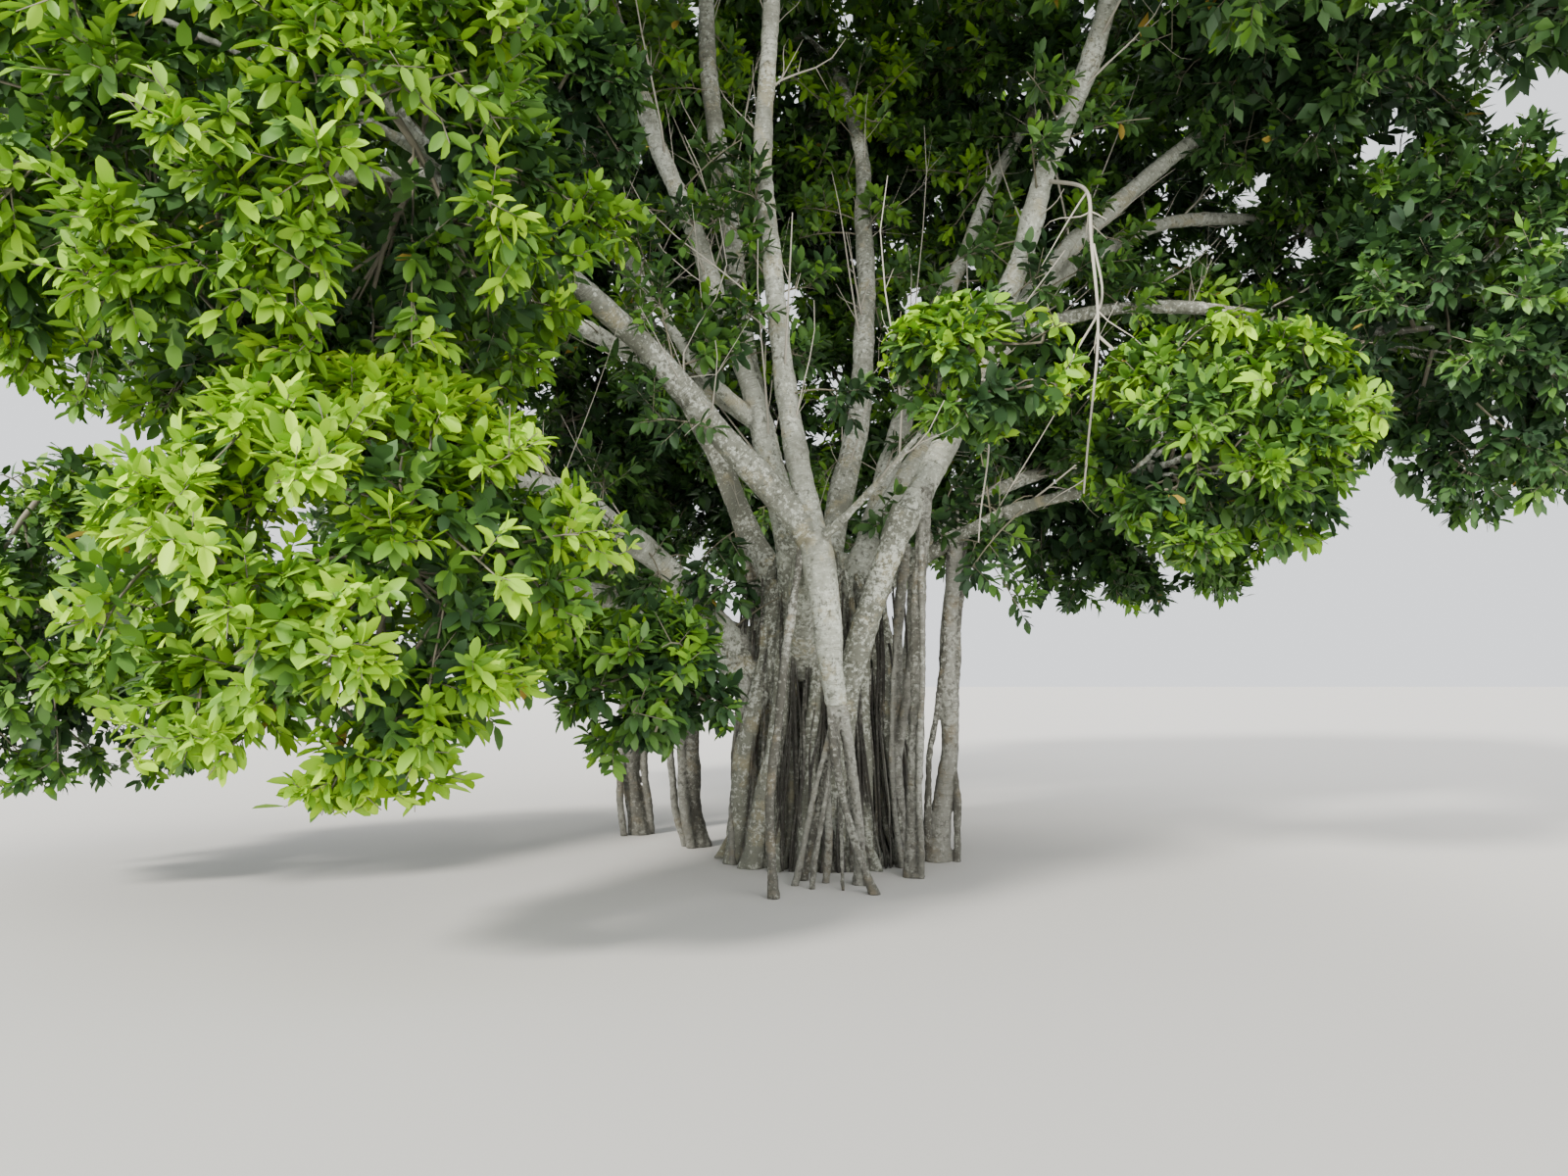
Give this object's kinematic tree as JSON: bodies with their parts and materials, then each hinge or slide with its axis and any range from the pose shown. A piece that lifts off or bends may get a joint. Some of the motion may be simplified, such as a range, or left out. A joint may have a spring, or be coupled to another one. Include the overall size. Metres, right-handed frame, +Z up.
{
  "type": "banyan tree",
  "caption": "Whole banyan tree: fluted trunk of fused aerial roots, prop roots standing round it, long tapering boughs and a wide, dense crown of glossy leaves.",
  "frame": {"origin": "the middle of the flat cut under the trunk, at ground level", "axes": "+Z up along the trunk, +X to the right and +Y to the back as seen from the side that the picture was taken from"},
  "size_m": [13.3288, 9.947, 10.8203],
  "materials": {
    "bark": "smooth pale silvery grey-tan bark with fine ring lines and mottling, matt",
    "root_bark": "grey-brown aerial roots, ropy and ridged, matt",
    "dead_wood": "bleached dead twigs without bark, matt",
    "foliage": "glossy leaves, deep green inside the crown and yellow-green where they are young and lit"
  },
  "bodies": {
    "root": {"trunk": "bark", "front_stem": "bark", "right_stem": "bark", "bough_left_long": "bark", "bough_up_centre": "bark", "bough_up_left": "bark", "bough_up_back": "bark", "bough_up_left_fork": "bark", "bough_left_thin": "bark", "bough_up_right": "bark", "bough_right_long": "bark", "bough_right_upper": "bark", "bough_right_level": "bark", "bough_front_twig": "bark", "bough_left_low": "bark", "bough_left_flat": "bark", "bough_back_left_low": "bark", "bough_back_up": "bark", "bough_back_right_up": "bark", "bough_left_mid": "bark", "bough_back_left_up": "bark", "bough_back_low": "bark", "bough_back_right_low": "bark", "bough_right_lit": "bark", "root_front_left": "root_bark", "root_crossing_right": "root_bark", "root_crossing_left": "root_bark", "root_front_centre": "root_bark", "root_right_front": "root_bark", "root_right_inner": "root_bark", "root_right_slant": "root_bark", "root_right_outer": "root_bark", "root_left_inner": "root_bark", "root_left_pair": "root_bark", "root_left_far": "root_bark", "root_back_left": "root_bark", "root_back_right": "root_bark", "dead_branch": "dead_wood", "foliage_left_front_low": "foliage", "foliage_left_front_high": "foliage", "foliage_left_far_low": "foliage", "foliage_left_middle": "foliage", "foliage_left_high": "foliage", "foliage_top_left": "foliage", "foliage_top_front": "foliage", "foliage_crown_top": "foliage", "foliage_top_right": "foliage", "foliage_right_high": "foliage", "foliage_right_far": "foliage", "foliage_right_front": "foliage", "foliage_right_lit": "foliage", "foliage_centre_lit": "foliage", "foliage_back_left_low": "foliage", "foliage_back_left_high": "foliage", "foliage_back_low": "foliage", "foliage_back_high": "foliage", "foliage_back_right_low": "foliage", "foliage_back_right_high": "foliage", "foliage_inner_left": "foliage", "foliage_trunk_left": "foliage"}
  },
  "joints": []
}
